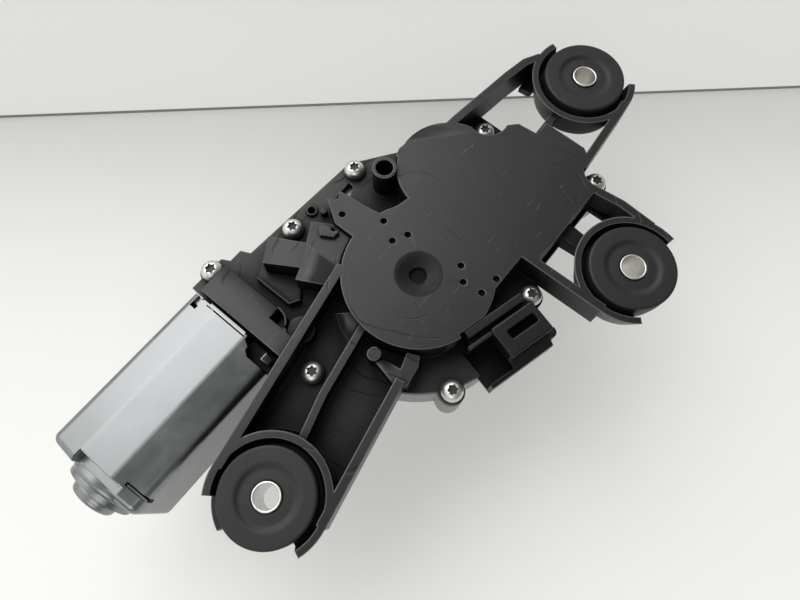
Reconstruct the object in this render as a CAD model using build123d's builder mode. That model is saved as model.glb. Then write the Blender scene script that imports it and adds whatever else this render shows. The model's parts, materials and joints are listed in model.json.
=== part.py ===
from build123d import *
import os
from math import acos, asin, atan2, cos, degrees, hypot, radians, sin, sqrt, tan

# Rear-window wiper motor: a permanent-magnet motor drives a worm and wheel, and a toothed
# coupler turns the wheel's rotation into the swing of the output shaft. Millimetres.
# +Z points from the wiper arm's seat to the moulded cover, +X along the armature shaft away
# from the motor can. The origin is on the output shaft, where its cone meets its thread.
os.makedirs("parts", exist_ok=True)

# ---- levels along the output shaft
cone_length = 9.0
tube_end_z = 15.0
housing_z = 48.0
joint_z = 65.0
cover_top_z = 82.0
grommet_top_z = 84.0
motor_z = 57.5

# ---- plan places
wheel_x = 46.5
wheel_y = 19.5
grommet_places = [(-100.4, -11.8), (122.0, 1.3), (56.7, -65.3)]
screw_places = [
    (-50.5, 70.0),
    (-14.5, 57.0),
    (24.5, 55.5),
    (77.5, 22.5),
    (88.0, -31.5),
    (26.0, -40.0),
    (-26.6, -39.0),
    (-56.0, 8.5),
]

# ---- wall thicknesses
housing_wall = 3.0
cover_wall = 2.5
cover_roof = 3.0
flange_t = 3.0
gasket_t = 1.0
arm_wall = 3.6

# ---- plan radii
hub_r = 31.3
lobe_r = 23.2
hub_flange_r = 46.0
lobe_flange_r = 26.5
screw_lobe_r = 5.4
scallop_r = 9.0

# ---- gear train
module = 1.0
wheel_teeth = 40
pinion_teeth = 18
sector_teeth = 26
worm_pitch_r = 4.75
wheel_pitch_r = module * wheel_teeth / 2
motor_y = wheel_y + wheel_pitch_r + worm_pitch_r
crank_r = 9.0
coupler_length = 54.4
tooth_play = 0.22
wheel_t = 9.0
gear_t = 4.0
link_t = 2.5
gear_gap = 0.5

# ---- shafts and running fits
run_play = 0.04
output_r = 6.0
thread_r = 4.0
thread_length = 14.0
tube_r = 10.0
bush_wall = 1.5
bush_length = 12.0
tube_rib_t = 2.5
barrel_wall = 1.4
axle_r = 4.0
pin_r = 2.5
armature_r = 2.5

# ---- motor
can_w = 45.0
can_h = can_w
can_end_x = -137.0
can_mouth_x = -62.0
nose_length = 15.0
worm_room = 18.0
worm_length = 13.0
shaft_end_x = 60.0
can_t = 1.8
can_facet = 16.0
can_shoulder = 4.0
can_corner_r = 5.0
can_edge_r = 8.0
magnet_t = 5.48
air_gap = 0.7

# ---- grommets and sleeves
grommet_r = 18.0
grommet_neck_r = 12.0
seat_t = 4.0
seat_top_z = 76.0
grommet_lower_r = 16.0
grommet_lower_z = 66.0
seat_room = 1.0
rim_room = 0.8
sleeve_r = 5.4
sleeve_bore_r = 4.6
ring_top_r = 20.6
ring_wall = 2.8
ring_taper = 3.8
lip_r = 22.6
lip_top_z = 72.0

# ---- cover screws
screw_head_r = 4.6
screw_head_h = 3.2
screw_shank_r = 2.0
screw_length = 14.0

# ---- connector
plug_width = 18.4
plug_height = 13.0
plug_length = 31.0
plug_reach = 14.0
plug_wall = 1.8
plug_turn = -15.4
plug_x = 2.7
plug_y = -46.7
plug_ledge = 5.6
blade_w = 2.8
blade_t = 0.8
blade_length = 9.0

clear = 0.3
press_play = 0.02
lug_depth = 17.0
boss_rise = 1.5

plug_mid = plug_reach - plug_length / 2
plug_at = Location((plug_x, plug_y, 0), (0, 0, plug_turn)) * Location((plug_mid, 0, 0))

# Parked position: coupler and crank in line, with the crank at its far side.
link_length = module * (pinion_teeth + sector_teeth) / 2
wheel_away = hypot(wheel_x, wheel_y)
reach = coupler_length + crank_r
park_turn = degrees(acos((wheel_away**2 + link_length**2 - reach**2) / (2 * wheel_away * link_length)))
link_angle = degrees(atan2(wheel_y, wheel_x)) - park_turn
pivot_x = link_length * cos(radians(link_angle))
pivot_y = link_length * sin(radians(link_angle))
coupler_angle = degrees(atan2(wheel_y - pivot_y, wheel_x - pivot_x))

wheel_z = motor_z - wheel_t / 2
sector_z = wheel_z + wheel_t + 1.5
link_z = sector_z + gear_t + gear_gap
roof_z = cover_top_z - cover_roof
floor_z = housing_z + housing_wall + 0.5
cover_base_z = joint_z + gasket_t

arm_z = cover_base_z + 2.0
web_top_z = arm_z + 8.0
web_floor_t = 3.0
gasket_edge = 1.0
gasket_w = 1.6
dish_r = 11.5
dish_depth = 0.8
collar_r = 8.0
collar_z = grommet_lower_z - 1.2
drive_r = 2.2
drive_depth = 1.5
can_end_round = 3.0
end_boss_r = 15.0
end_boss_h = 5.5
end_cup_r = 10.0
end_cup_h = 5.5
rear_bush_r = 5.0
wheel_root_r = wheel_pitch_r - 1.2 * module
wheel_first_angle = 90.0
wheel_hub_r = 8.0
wheel_hub_z = wheel_z + wheel_t - 2.0
rim_w = 3.0
web_t = 3.0
clip_t = 0.8
cone_r = 4.8
pinion_bore_r = 5.0
pinion_pitch_r = module * pinion_teeth / 2
sector_pitch_r = module * sector_teeth / 2
shaft_step_z = sector_z - 0.5
seal_l = 2.5
link_eye_r = 8.5
pivot_eye_r = 4.4
arm_hub_r = 4.6
crank_eye_r = 5.0
groove_depth = 0.8
board_corners = [(52, -30), (75, -30), (75, -20), (86, -15), (86, -4), (52, -4)]
plug_top_z = 75.0
bridge_top_z = 81.0
bridge_length = 21.0
bridge_width = 14.0
bridge_mid = (5.0, 2.5)
bridge_window = (13.5, 4.0)
ridge_w = 3.4
ridge_top_z = 81.5
ledge_top_z = 77.0
mouth_depth = 24.0
slot_count = 10
core_length = 40.0
end_turns = 5.0
commutator_r = 6.5
commutator_length = 11.0
magnet_gap = 8.0
brush_w = 4.5
brush_h = 5.0
brush_l = 6.5
holder_r = can_w / 2 - can_t - press_play
rotor_r = holder_r - magnet_t - air_gap
holder_t = 2.0
cap_top_z = cover_top_z - 4.0
duct_top_z = cover_top_z - 2.0
cap_corners = [(-60, 19.5), (-60, 64), (-46.2, 64), (-46.2, 35), (-51.2, 35), (-51.2, 19.5)]
duct_corners = [
    (-25.8, 58.5), (-36, 52.3), (-27.8, 39.1), (-32.9, 37.1), (-26.8, 25.9), (-17.7, 27.9), (-18.2, 44.7),
]
duct_inner = [(-26.5, 55.2), (-32.6, 51.5), (-24.6, 38.6), (-24, 31), (-20, 31), (-20.6, 44.2)]
board_t = 1.6
board_z = roof_z - 6.0
board_pegs = [(55, -27), (72, -27), (83, -7), (55, -7)]
journal_r = 4.0
journal_z = roof_z - 5.0
journal_top_z = cover_top_z - 4.0
spout_at = (27.8, 40.8)
spout_r = 5.2
spout_bore_r = 3.8
spout_top_z = grommet_top_z
dimple_r = 9.9
dimple_depth = 1.8
dimple_core_depth = 2.8
dimple_core_r = 3.6
mark_r = 1.2
mark_depth = 1.5
peg_at = (-36.3, -7.1)
peg_r = 2.7
side_wall_t = 3.0
rib_top_z = cover_top_z - 3.0
step_top_z = cover_top_z - 5.0
stud_top_z = cover_top_z - 2.0
boss_inset = 0.6
brace_corners = [
    (-38.2, -9.5), (-40.4, -20), (-37.5, -24.8), (-29.1, -23.4), (-25.5, -21.3), (-27.5, -16.5),
    (-34.2, -18.7), (-35.6, -11),
]
mark_places = [
    (5, 48.6), (0.5, 40.9), (-6.5, 39.4), (9.1, 25.7), (4.5, 17.2), (10.6, 14.1),
    (13.6, -11.1), (8.6, -16.1), (9.6, -24.5), (18.2, -25.5),
]


def inset_box(corners, inset):
    """Corners of a right-angled outline moved inwards; the first corner is the lowest left."""
    left, low = corners[0]
    top = corners[1][1]
    right, step_y = corners[3]
    step_x = corners[4][0]
    return [
        (left + inset, low + inset), (left + inset, top - inset), (right - inset, top - inset),
        (right - inset, step_y + inset), (step_x - inset, step_y + inset), (step_x - inset, low + inset),
    ]


def tooth(pitch_r):
    """One straight-flanked tooth standing on the root circle, pointing along +X."""
    half = module * 0.7854 - tooth_play
    lean = tan(radians(20))
    root = pitch_r - 1.2 * module
    tip = pitch_r + 0.8 * module
    wide = half + 1.0 * module * lean
    slim = half - 0.8 * module * lean
    with BuildSketch(mode=Mode.PRIVATE) as shape:
        Polygon(
            (root - 0.5, -wide), (root, -wide), (tip, -slim), (tip, slim), (root, wide), (root - 0.5, wide),
            align=None,
        )
    return shape.sketch


def toothed(pitch_r, teeth, first_angle, count):
    """A row of teeth round the sketch's own centre, starting at first_angle."""
    step = 360 / teeth
    for index in range(count):
        add(tooth(pitch_r), rotation=first_angle + index * step)


def flange_outline(inset=0.0):
    """Plan outline that the housing and the cover share where they bolt together."""
    Circle(hub_flange_r - inset)
    with Locations((wheel_x, wheel_y)):
        Circle(lobe_flange_r - inset)
    left = can_mouth_x + 1 + inset
    top = motor_y + can_w / 2 + 5 - inset
    Polygon(
        (left, motor_y - can_w / 2 - 3 + inset),
        (left, top),
        (-44 - inset, top),
        (-42 - inset, 68.2 - inset),
        (-36 - inset, 68.2 - inset),
        (-34 - inset, 64 - inset),
        (26 - inset, 60.5 - inset),
        (wheel_x, wheel_y + lobe_flange_r - inset),
        (wheel_x, wheel_y),
        (0, 0),
        (-30, 5 + inset),
        align=None,
    )
    Polygon(
        (0, 0),
        (wheel_x, wheel_y),
        (73 - inset, 18),
        (84 - inset, 9.5),
        (88 - inset, 0),
        (88 - inset, -24),
        (80 - inset, -36.2 + inset),
        (10, -36.2 + inset),
        align=None,
    )
    with Locations(plug_at):
        Rectangle(plug_length + 2 * (clear + inset), plug_width + 2 * (clear + inset), mode=Mode.SUBTRACT)


def screw_lobes(radius, inset=0.0):
    """Round lugs at the cover screws, each with a web back towards the body."""
    towards = [(-50, 60), (-14, 50), (24, 50), (70, 14), (78, -28), (30, -32), (-20, -26), (-52, 24)]
    for (x, y), (bx, by) in zip(screw_places, towards):
        with Locations((x, y)):
            Circle(radius - inset)
        run = hypot(bx - x, by - y)
        turn = degrees(atan2(by - y, bx - x))
        with Locations(Location(((x + bx) / 2, (y + by) / 2, 0), (0, 0, turn))):
            Rectangle(run, 2 * (radius - inset))


def plateau_outline(inset=0.0):
    """Plan outline of the cover's raised roof."""
    Circle(hub_r - inset)
    with Locations((wheel_x, wheel_y)):
        Circle(lobe_r - inset)
    Polygon(
        (-4, 20),
        (-4.5 + inset, 40.4 - inset / 2),
        (2 + inset / 4, 50.5 - inset * 1.3),
        (8.2 - inset, 48.4 - inset),
        (9.4 - inset, 37.4),
        (10.8 - inset, 28.8 - inset),
        (19, 25.6 - inset),
        (wheel_x, wheel_y),
        (0, 0),
        align=None,
    )
    Polygon(
        (wheel_x, wheel_y),
        (36.2 + inset, 41.2 - inset),
        (39.8, 42.8 - inset),
        (43, 42.5 - inset),
        align=None,
    )
    Polygon(
        (0, 0),
        (wheel_x, wheel_y),
        (68 - inset, 24 - inset),
        (80.7 - inset, 12.9 - inset),
        (83.6 - inset, 10.2 - inset),
        (84.6 - inset, 1 - inset),
        (91.8 - inset, 1 - inset),
        (91.8 - inset, -19 + inset),
        (88.2 - inset, -24.5 + inset),
        (82.8 - inset, -24.5 + inset),
        (79.8 - inset, -28 + inset),
        (78.5 - inset, -34.3 + inset),
        (35.3 + inset, -34.3 + inset),
        (33.3 + inset, -27.7 + inset),
        (12, -27.7 + inset),
        align=None,
    )
    with Locations(screw_places[3]):
        Circle(scallop_r + inset, mode=Mode.SUBTRACT)
    with Locations(plug_at):
        Rectangle(plug_length + 2 * inset, plug_width + 2 * (plug_ledge + inset), mode=Mode.SUBTRACT)


# ---- gear housing: die-cast tub, shaft tube, worm barrel and motor nose
with BuildPart() as gear_housing:
    with BuildSketch(Plane.XY.offset(joint_z - flange_t)):
        flange_outline()
    extrude(amount=flange_t)
    with BuildSketch(Plane.XY.offset(joint_z - lug_depth)):
        screw_lobes(screw_lobe_r)
    extrude(amount=lug_depth)
    # round tub under the linkage and the wheel
    with BuildSketch(Plane.XY.offset(housing_z)):
        Circle(hub_flange_r)
        with Locations((wheel_x, wheel_y)):
            Circle(lobe_flange_r)
    extrude(amount=joint_z - flange_t - housing_z)
    # nose that carries the can
    with BuildSketch(Plane.YZ.offset(can_mouth_x)):
        with Locations((motor_y, (motor_z - can_h / 2 + joint_z - flange_t) / 2)):
            RectangleRounded(can_w - 2 * can_t, joint_z - flange_t - motor_z + can_h / 2, can_corner_r)
        with Locations((motor_y, joint_z - flange_t - can_corner_r)):
            Rectangle(can_w - 2 * can_t, 2 * can_corner_r)
    extrude(amount=nose_length)
    # shaft tube with its ribs
    with BuildSketch(Plane.XY.offset(tube_end_z)):
        Circle(tube_r)
    extrude(amount=floor_z - tube_end_z, taper=-2)
    for turn in range(0, 360, 60):
        with BuildSketch(Plane.XZ.rotated((0, 0, turn + 30)).offset(-tube_rib_t / 2)):
            Polygon(
                (tube_r - 1, housing_z + 0.5),
                (hub_flange_r - 12, housing_z + 0.5),
                (tube_r - 1, tube_end_z + 12),
                align=None,
            )
        extrude(amount=tube_rib_t)
    # hollow of the tub, with the shaft boss left standing
    with BuildSketch(Plane.XY.offset(floor_z)):
        Circle(hub_flange_r - housing_wall)
        Circle(tube_r + 1, mode=Mode.SUBTRACT)
    extrude(amount=joint_z - floor_z, mode=Mode.SUBTRACT)
    with BuildSketch(Plane.XY.offset(sector_z - 1)):
        Circle(tube_r + 2)
    extrude(amount=joint_z - sector_z + 1, mode=Mode.SUBTRACT)
    # worm barrel along the armature shaft and its narrower end
    barrel_r = worm_pitch_r + 0.8 * module + clear + barrel_wall
    with BuildSketch(Plane.YZ.offset(can_mouth_x + nose_length - 1)):
        with Locations((motor_y, motor_z)):
            Circle(barrel_r)
        with Locations((motor_y - barrel_r / 2, (motor_z - barrel_r + joint_z - flange_t) / 2)):
            Rectangle(barrel_r, joint_z - flange_t - motor_z + barrel_r)
    extrude(amount=wheel_x + worm_room / 2 + 1 - can_mouth_x - nose_length + 1)
    with BuildSketch(Plane.YZ.offset(wheel_x + worm_room / 2)):
        with Locations((motor_y, motor_z)):
            Circle(armature_r + bush_wall + barrel_wall)
    extrude(amount=shaft_end_x + 2 - wheel_x - worm_room / 2)
    # wheel pocket, worm room, shaft bore and motor nose
    with BuildSketch(Plane.XY.offset(floor_z)):
        with Locations((wheel_x, wheel_y)):
            Circle(lobe_flange_r - housing_wall)
    extrude(amount=joint_z - floor_z, mode=Mode.SUBTRACT)
    with BuildSketch(Plane.YZ.offset(wheel_x - worm_room / 2)):
        with Locations((motor_y, motor_z)):
            Circle(worm_pitch_r + 0.8 * module + clear)
    extrude(amount=worm_room, mode=Mode.SUBTRACT)
    with BuildSketch(Plane.YZ.offset(can_mouth_x)):
        with Locations((motor_y, motor_z)):
            Circle(armature_r + bush_wall + press_play)
    extrude(amount=shaft_end_x + 1 - can_mouth_x, mode=Mode.SUBTRACT)
    with BuildSketch(Plane.YZ.offset(can_mouth_x)):
        with Locations((motor_y, motor_z)):
            Circle(rotor_r)
    extrude(amount=nose_length - housing_wall, mode=Mode.SUBTRACT)
    # shaft bore and wheel axle bore
    with BuildSketch(Plane.XY.offset(tube_end_z)):
        Circle(output_r + bush_wall + press_play)
    extrude(amount=joint_z - tube_end_z, mode=Mode.SUBTRACT)
    with BuildSketch(Plane.XY.offset(housing_z)):
        with Locations((wheel_x, wheel_y)):
            Circle(axle_r + press_play)
    extrude(amount=joint_z - housing_z, mode=Mode.SUBTRACT)
    # tapped holes for the cover screws
    with BuildSketch(Plane.XY.offset(joint_z - flange_t)):
        with Locations(*screw_places):
            Circle(screw_shank_r + press_play)
    extrude(amount=-lug_depth, both=True, mode=Mode.SUBTRACT)
gear_housing.part.label = "gear_housing"
export_step(gear_housing.part, "parts/gear_housing.step")


def grommet_ring(place, from_angle, arc, base_z):
    """Funnel-shaped wall round part of one grommet, from from_angle through arc degrees."""
    aim = radians(from_angle)
    section = Plane(origin=(*place, 0), x_dir=(cos(aim), sin(aim), 0), z_dir=(sin(aim), -cos(aim), 0))
    with BuildSketch(section) as shape:
        Polygon(
            (ring_top_r, cover_top_z),
            (ring_top_r + ring_wall, cover_top_z),
            (ring_top_r + ring_wall - ring_taper, base_z),
            (ring_top_r - ring_taper, base_z),
            align=None,
        )
        Polygon(
            (grommet_r - 1, seat_top_z - seat_t),
            (ring_top_r, seat_top_z - seat_t),
            (ring_top_r, seat_top_z),
            (grommet_r - 1, seat_top_z),
            align=None,
        )
    revolve(shape.sketch, axis=Axis((*place, 0), (0, 0, 1)), revolution_arc=arc)


def grommet_lip(place, from_angle, arc):
    """Low lip that carries on where the upright wall of a ring stops."""
    aim = radians(from_angle)
    section = Plane(origin=(*place, 0), x_dir=(cos(aim), sin(aim), 0), z_dir=(sin(aim), -cos(aim), 0))
    with BuildSketch(section) as shape:
        Polygon(
            (grommet_lower_r + seat_room, cover_base_z),
            (lip_r, cover_base_z),
            (lip_r, lip_top_z),
            (grommet_lower_r + seat_room, lip_top_z),
            align=None,
        )
    revolve(shape.sketch, axis=Axis((*place, 0), (0, 0, 1)), revolution_arc=arc)


def wall(points, thickness, low_z, high_z):
    """Upright rib of one thickness that follows a line of plan points."""
    with BuildSketch(Plane.XY.offset(low_z)) as shape:
        with BuildLine() as path:
            Polyline(*points)
        trace(path.line, line_width=thickness)
    extrude(shape.sketch, amount=high_z - low_z)


def plate(points, low_z, high_z, mode=Mode.ADD):
    """Flat plate with a straight-sided plan outline."""
    with BuildSketch(Plane.XY.offset(low_z)) as shape:
        Polygon(*points, align=None)
    extrude(shape.sketch, amount=high_z - low_z, mode=mode)


def strut(start, ring, side):
    """Upright arm wall from a root point to where it touches a grommet ring on one side."""
    reach_r = ring_top_r + ring_wall - arm_wall / 2
    run_x = ring[0] - start[0]
    run_y = ring[1] - start[1]
    away = hypot(run_x, run_y)
    aim = atan2(run_y, run_x) + side * asin(reach_r / away)
    run = sqrt(away**2 - reach_r**2)
    return [start, (start[0] + run * cos(aim), start[1] + run * sin(aim))]


def disc(place, radius, low_z, high_z, mode=Mode.ADD):
    """Round plate or hole, upright, at a plan point."""
    with BuildSketch(Plane.XY.offset(low_z)) as shape:
        with Locations(place):
            Circle(radius)
    extrude(shape.sketch, amount=high_z - low_z, mode=mode)


# ---- mounting cover: raised roof over the linkage, cable cap, and the three arms
with BuildPart() as mounting_cover:
    flange_top = cover_base_z + flange_t
    with BuildSketch(Plane.XY.offset(cover_base_z)):
        flange_outline()
        screw_lobes(screw_lobe_r)
    extrude(amount=flange_t)
    for x, y in screw_places:
        disc((x, y), screw_lobe_r - boss_inset, cover_base_z, flange_top + boss_rise)
    with BuildSketch(Plane.XY.offset(cover_base_z)):
        plateau_outline()
    extrude(amount=cover_top_z - cover_base_z)
    # cap over the brushes and the stepped duct beside it
    plate(cap_corners, cover_base_z, cap_top_z)
    plate(duct_corners, cover_base_z, duct_top_z)
    # arm to the grommet beside the motor, with its forked brace and peg
    ring_1, ring_2, ring_3 = grommet_places
    plate([(-36, 3), (-36, 22), (-104, 11), (-80, -12), (-100, -34), (-38, -23)], cover_base_z, flange_top)
    wall(strut((-17, 26.2), ring_1, -1), arm_wall, cover_base_z, cover_top_z)
    wall([(-29, 4), (-60.5, -2), (-79, -7.5)], side_wall_t, cover_base_z, rib_top_z)
    wall(strut((-38, -21.6), ring_1, 1), arm_wall, cover_base_z, cover_top_z)
    plate([(-43, 1), (-33, 16), (-29, 12), (-29, 3)], cover_base_z, step_top_z)
    plate(brace_corners, cover_base_z, rib_top_z)
    disc(peg_at, peg_r, cover_base_z, stud_top_z)
    grommet_ring(ring_1, -110, 238, cover_base_z)
    grommet_lip(ring_1, 126, 34)
    # arm beyond the wheel
    wall([(60, 33.6), (68.6, 33), (102, 29.2), (113, 27.3), (120, 23.6)], arm_wall, arm_z, cover_top_z)
    wall(strut((84, -23.4), ring_2, -1), arm_wall, arm_z, cover_top_z)
    grommet_ring(ring_2, 71, 232, arm_z)
    wall([(83, 0.4), (101, 1.3)], side_wall_t, arm_z, stud_top_z)
    plate([(60, 33), (84.5, 32), (84.5, 12), (70, 12)], cover_base_z, flange_top)
    plate([(108, 24.6), (117, 25), (117, 18), (108.5, 19)], arm_z, arm_z + web_floor_t)
    # arm across the corner
    wall(strut((34.2, -27), ring_3, -1), arm_wall, arm_z, cover_top_z)
    wall([(77.3, -30), (79.3, -46.5), (78.5, -62)], arm_wall, arm_z, cover_top_z)
    grommet_ring(ring_3, -16, 238, arm_z)
    plate([(53, -34), (61, -34), (60, -46), (54, -46)], arm_z, web_top_z)
    plate([(75.5, -34), (78, -34), (79, -60), (76, -52)], arm_z, arm_z + web_floor_t)
    for place in grommet_places:
        disc(place, grommet_r - 0.5, seat_top_z - seat_t, seat_top_z)
    # seats kept clear for the rubber
    for place in grommet_places:
        disc(place, grommet_lower_r + seat_room, cover_base_z, seat_top_z - seat_t, Mode.SUBTRACT)
        disc(place, grommet_neck_r + press_play, seat_top_z - seat_t, seat_top_z, Mode.SUBTRACT)
        disc(place, grommet_r + rim_room, seat_top_z, cover_top_z, Mode.SUBTRACT)
    # hollow underside
    with BuildSketch(Plane.XY.offset(cover_base_z)):
        plateau_outline(cover_wall)
    extrude(amount=roof_z - cover_base_z, mode=Mode.SUBTRACT)
    plate(inset_box(cap_corners, cover_wall), cover_base_z, cap_top_z - cover_wall, Mode.SUBTRACT)
    plate(duct_inner, cover_base_z, duct_top_z - cover_wall, Mode.SUBTRACT)
    # bearing boss for the output shaft and pegs for the circuit board
    disc((0, 0), output_r + 5, journal_z, roof_z)
    for x, y in board_pegs:
        disc((x, y), 2, board_z + board_t, roof_z)
    disc((0, 0), journal_r + run_play, journal_z, journal_top_z + clear, Mode.SUBTRACT)
    # breather spout
    disc(spout_at, spout_r, flange_top, spout_top_z)
    disc(spout_at, spout_bore_r, flange_top, spout_top_z, Mode.SUBTRACT)
    # dimple over the output shaft and the ejector marks
    with BuildSketch(Plane.XZ):
        Polygon(
            (0, cover_top_z),
            (dimple_r, cover_top_z),
            (dimple_core_r, cover_top_z - dimple_depth),
            (dimple_core_r, cover_top_z - dimple_core_depth),
            (0, cover_top_z - dimple_core_depth),
            align=None,
        )
    revolve(axis=Axis.Z, mode=Mode.SUBTRACT)
    with BuildSketch(Plane.XY.offset(cover_top_z - mark_depth)):
        with Locations(*mark_places):
            Circle(mark_r)
    extrude(amount=mark_depth, mode=Mode.SUBTRACT)
    with BuildSketch(Plane.XY.offset(cover_base_z)):
        with Locations(*screw_places):
            Circle(screw_shank_r + clear)
    extrude(amount=flange_t + boss_rise, mode=Mode.SUBTRACT)
mounting_cover.part.label = "mounting_cover"
export_step(mounting_cover.part, "parts/mounting_cover.step")


def save(piece, name):
    """Label a finished piece and write its file."""
    piece.part.label = name
    export_step(piece.part, f"parts/{name}.step")


# ---- gasket between the housing and the cover
with BuildPart() as cover_gasket:
    with BuildSketch(Plane.XY.offset(joint_z)):
        flange_outline(gasket_edge)
    extrude(amount=gasket_t)
    with BuildSketch(Plane.XY.offset(joint_z)):
        flange_outline(gasket_edge + gasket_w)
    extrude(amount=gasket_t, mode=Mode.SUBTRACT)
    with BuildSketch(Plane.XY.offset(joint_z)):
        with Locations(*screw_places):
            Circle(screw_shank_r + clear)
    extrude(amount=gasket_t, mode=Mode.SUBTRACT)
save(cover_gasket, "cover_gasket")

# ---- rubber grommets and their steel sleeves
sleeve_top_z = grommet_top_z + 0.3
for index, place in enumerate(grommet_places):
    with BuildPart() as grommet:
        with BuildSketch(Plane.XZ):
            Polygon(
                (sleeve_r + press_play, grommet_lower_z),
                (grommet_lower_r - 1, grommet_lower_z),
                (grommet_lower_r, grommet_lower_z + 1),
                (grommet_lower_r, seat_top_z - seat_t),
                (grommet_neck_r, seat_top_z - seat_t),
                (grommet_neck_r, seat_top_z),
                (grommet_r, seat_top_z),
                (grommet_r, grommet_top_z - 1),
                (grommet_r - 1, grommet_top_z),
                (dish_r, grommet_top_z - dish_depth / 2),
                (dish_r - 1, grommet_top_z - dish_depth),
                (sleeve_r + press_play, grommet_top_z - dish_depth),
                align=None,
            )
        revolve(axis=Axis.Z)
    grommet.part.position = (*place, 0)
    save(grommet, f"grommet_{index + 1}")
    with BuildPart() as sleeve:
        with BuildSketch(Plane.XZ):
            Polygon(
                (sleeve_bore_r, collar_z),
                (collar_r, collar_z),
                (collar_r, grommet_lower_z),
                (sleeve_r, grommet_lower_z),
                (sleeve_r, sleeve_top_z),
                (sleeve_bore_r, sleeve_top_z),
                align=None,
            )
        revolve(axis=Axis.Z)
    sleeve.part.position = (*place, 0)
    save(sleeve, f"grommet_sleeve_{index + 1}")

# ---- cover screws, one group
head_z = cover_base_z + flange_t + boss_rise
with BuildPart() as cover_screws:
    with BuildSketch(Plane.XY.offset(head_z)):
        with Locations(*screw_places):
            Circle(screw_head_r)
    extrude(amount=screw_head_h)
    fillet(cover_screws.edges().group_by(Axis.Z)[-1], radius=1.2)
    with BuildSketch(Plane.XY.offset(head_z - screw_length)):
        with Locations(*screw_places):
            Circle(screw_shank_r)
    extrude(amount=screw_length)
    with BuildSketch(Plane.XY.offset(head_z + screw_head_h - drive_depth)):
        with Locations(*screw_places):
            RegularPolygon(drive_r, 6)
    extrude(amount=drive_depth, mode=Mode.SUBTRACT)
save(cover_screws, "cover_screws")

# ---- motor can: drawn steel pot with flattened faces and a stepped bearing boss
def can_section(inset):
    """Eight-sided section of the can with rounded corners."""
    wide = can_w / 2 - inset
    tall = can_h / 2 - inset
    flat = can_facet / 2 - inset * 0.2
    shoulder = tall - can_shoulder
    with BuildSketch(mode=Mode.PRIVATE) as shape:
        Polygon(
            (flat, tall), (wide, shoulder), (wide, -shoulder), (flat, -tall),
            (-flat, -tall), (-wide, -shoulder), (-wide, shoulder), (-flat, tall),
            align=None,
        )
        corners = shape.vertices().filter_by(lambda v: abs(v.X) > flat + 1)
        fillet(corners, radius=can_corner_r - inset)
        ridges = shape.vertices().filter_by(lambda v: abs(abs(v.X) - flat) < 0.1 and abs(v.Y) > shoulder)
        fillet(ridges, radius=can_edge_r - inset)
    return shape.sketch


with BuildPart() as motor_can:
    with BuildSketch(Plane(origin=(can_end_x, motor_y, motor_z), x_dir=(0, 1, 0), z_dir=(1, 0, 0))):
        add(can_section(0))
    extrude(amount=can_mouth_x - can_end_x)
    fillet(motor_can.faces().sort_by(Axis.X)[0].edges(), radius=can_end_round)
    with BuildSketch(Plane(origin=(can_end_x, motor_y, motor_z), x_dir=(0, 1, 0), z_dir=(-1, 0, 0))):
        Circle(end_boss_r)
    extrude(amount=end_boss_h, taper=6)
    with BuildSketch(
        Plane(origin=(can_end_x - end_boss_h, motor_y, motor_z), x_dir=(0, 1, 0), z_dir=(-1, 0, 0))
    ):
        Circle(end_cup_r)
    extrude(amount=end_cup_h)
    fillet(motor_can.faces().sort_by(Axis.X)[0].edges(), radius=end_cup_r * 0.4)
    with BuildSketch(Plane(origin=(can_end_x + can_t, motor_y, motor_z), x_dir=(0, 1, 0), z_dir=(1, 0, 0))):
        add(can_section(can_t))
    extrude(amount=can_mouth_x - can_end_x, mode=Mode.SUBTRACT)
    with BuildSketch(
        Plane(origin=(can_end_x + can_t, motor_y, motor_z), x_dir=(0, 1, 0), z_dir=(-1, 0, 0))
    ):
        Circle(rear_bush_r + press_play)
    extrude(amount=can_t + end_boss_h + end_cup_h - can_t, mode=Mode.SUBTRACT)
save(motor_can, "motor_can")

# ---- bearings of the armature shaft
def along_motor(x):
    """Plane across the armature shaft at x."""
    return Plane(origin=(x, motor_y, motor_z), x_dir=(0, 1, 0), z_dir=(1, 0, 0))


rear_bush_x = can_end_x - end_boss_h - end_cup_h + 2 * can_t
front_bush_x = can_mouth_x + nose_length - housing_wall
end_bush_x = wheel_x + worm_room / 2
with BuildPart() as rear_bush:
    with BuildSketch(along_motor(rear_bush_x)):
        Circle(rear_bush_r)
        Circle(armature_r + run_play, mode=Mode.SUBTRACT)
    extrude(amount=bush_length * 0.7)
save(rear_bush, "rear_bush")
with BuildPart() as front_bush:
    with BuildSketch(along_motor(front_bush_x)):
        Circle(armature_r + bush_wall)
        Circle(armature_r + run_play, mode=Mode.SUBTRACT)
    extrude(amount=bush_length)
save(front_bush, "front_bush")
with BuildPart() as end_bush:
    with BuildSketch(along_motor(end_bush_x)):
        Circle(armature_r + bush_wall)
        Circle(armature_r + run_play, mode=Mode.SUBTRACT)
    extrude(amount=shaft_end_x - end_bush_x)
save(end_bush, "end_bush")

# ---- armature: shaft, worm, laminated core, windings and commutator
with BuildPart() as armature_shaft:
    with BuildSketch(along_motor(rear_bush_x)):
        Circle(armature_r)
    extrude(amount=shaft_end_x - clear - rear_bush_x)
    chamfer(armature_shaft.edges().filter_by(GeomType.CIRCLE), length=0.5)
save(armature_shaft, "armature_shaft")
with BuildPart() as worm:
    with BuildSketch(along_motor(wheel_x - worm_length / 2)):
        Circle(worm_pitch_r - 1.2 * module)
        Circle(armature_r + press_play, mode=Mode.SUBTRACT)
    extrude(amount=worm_length)
save(worm, "worm")

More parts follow.
